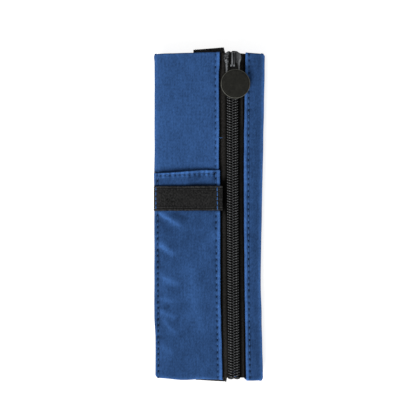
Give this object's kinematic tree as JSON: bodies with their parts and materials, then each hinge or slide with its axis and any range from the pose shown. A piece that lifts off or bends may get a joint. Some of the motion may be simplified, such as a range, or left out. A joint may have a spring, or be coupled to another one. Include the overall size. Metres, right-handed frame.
{
  "type": "elastic pen pouch",
  "caption": "Slim zipped fabric pen pouch with a front slip pocket, an elastic pen loop, a coil zip with a round pull, and a wide elastic band behind that grips a book cover.",
  "frame": {"origin": "middle of the underside of the pouch lying on its back, which is the underside of the book band", "axes": "+Y along the zip towards the end where the closed slider rests, +X to the zip side seen from the front, +Z out of the front"},
  "size_m": [0.0582, 0.1736, 0.0134],
  "materials": {
    "cloth": "navy blue cotton twill",
    "lining": "thin black lining cloth",
    "zip_tape": "black woven zip tape",
    "nylon_coil": "black nylon monofilament coil",
    "filler_cord": "black filler cord",
    "elastic": "black woven elastic",
    "slider_metal": "black lacquered zinc die casting, satin",
    "spring_steel": "bright spring steel",
    "pull_lacquer": "matte black lacquer"
  },
  "bodies": {
    "pouch": {"back_panel": "cloth", "front_left_panel": "cloth", "front_right_panel": "cloth", "slip_pocket": "cloth", "back_lining": "lining", "front_left_lining": "lining", "front_right_lining": "lining", "zip_tape_left": "zip_tape", "zip_tape_right": "zip_tape", "zip_coil_left": "nylon_coil", "zip_coil_right": "nylon_coil", "coil_core_left": "filler_cord", "coil_core_right": "filler_cord", "pen_loop_left_end": "elastic", "pen_loop_right_end": "elastic", "book_band_top_end": "elastic", "book_band_bottom_end": "elastic"},
    "slider": {"slider_body": "slider_metal", "slider_crown": "slider_metal", "slider_lock_spring": "spring_steel"},
    "pull": {"pull_disc": "pull_lacquer"},
    "pen_loop": {"pen_loop_span": "elastic"},
    "book_band": {"book_band_span": "elastic"}
  },
  "joints": [
    {"name": "slider_travel", "type": "slide", "parent": "pouch", "child": "slider", "axis": [0.0047, -1, 0], "range_m": [0, 0.155], "deforming": ["zip_coil_left", "zip_coil_right"]},
    {"name": "pull_swing", "type": "hinge", "parent": "slider", "child": "pull", "pos_m": [0.01193, 0.0787, 0.01195], "axis": [-0.9896, -0.1438, 0], "range_deg": [0, 130], "deforming": ["slider_lock_spring"]},
    {"name": "pen_loop_stretch", "type": "slide", "parent": "pouch", "child": "pen_loop", "axis": [0, 0, 1], "range_m": [0, 0.01], "stiffness_N_per_m": 80, "deforming": ["pen_loop_left_end", "pen_loop_right_end"]},
    {"name": "book_band_stretch", "type": "slide", "parent": "pouch", "child": "book_band", "axis": [0, 0, -1], "range_m": [0, 0.015], "stiffness_N_per_m": 80, "deforming": ["book_band_top_end", "book_band_bottom_end"]}
  ]
}
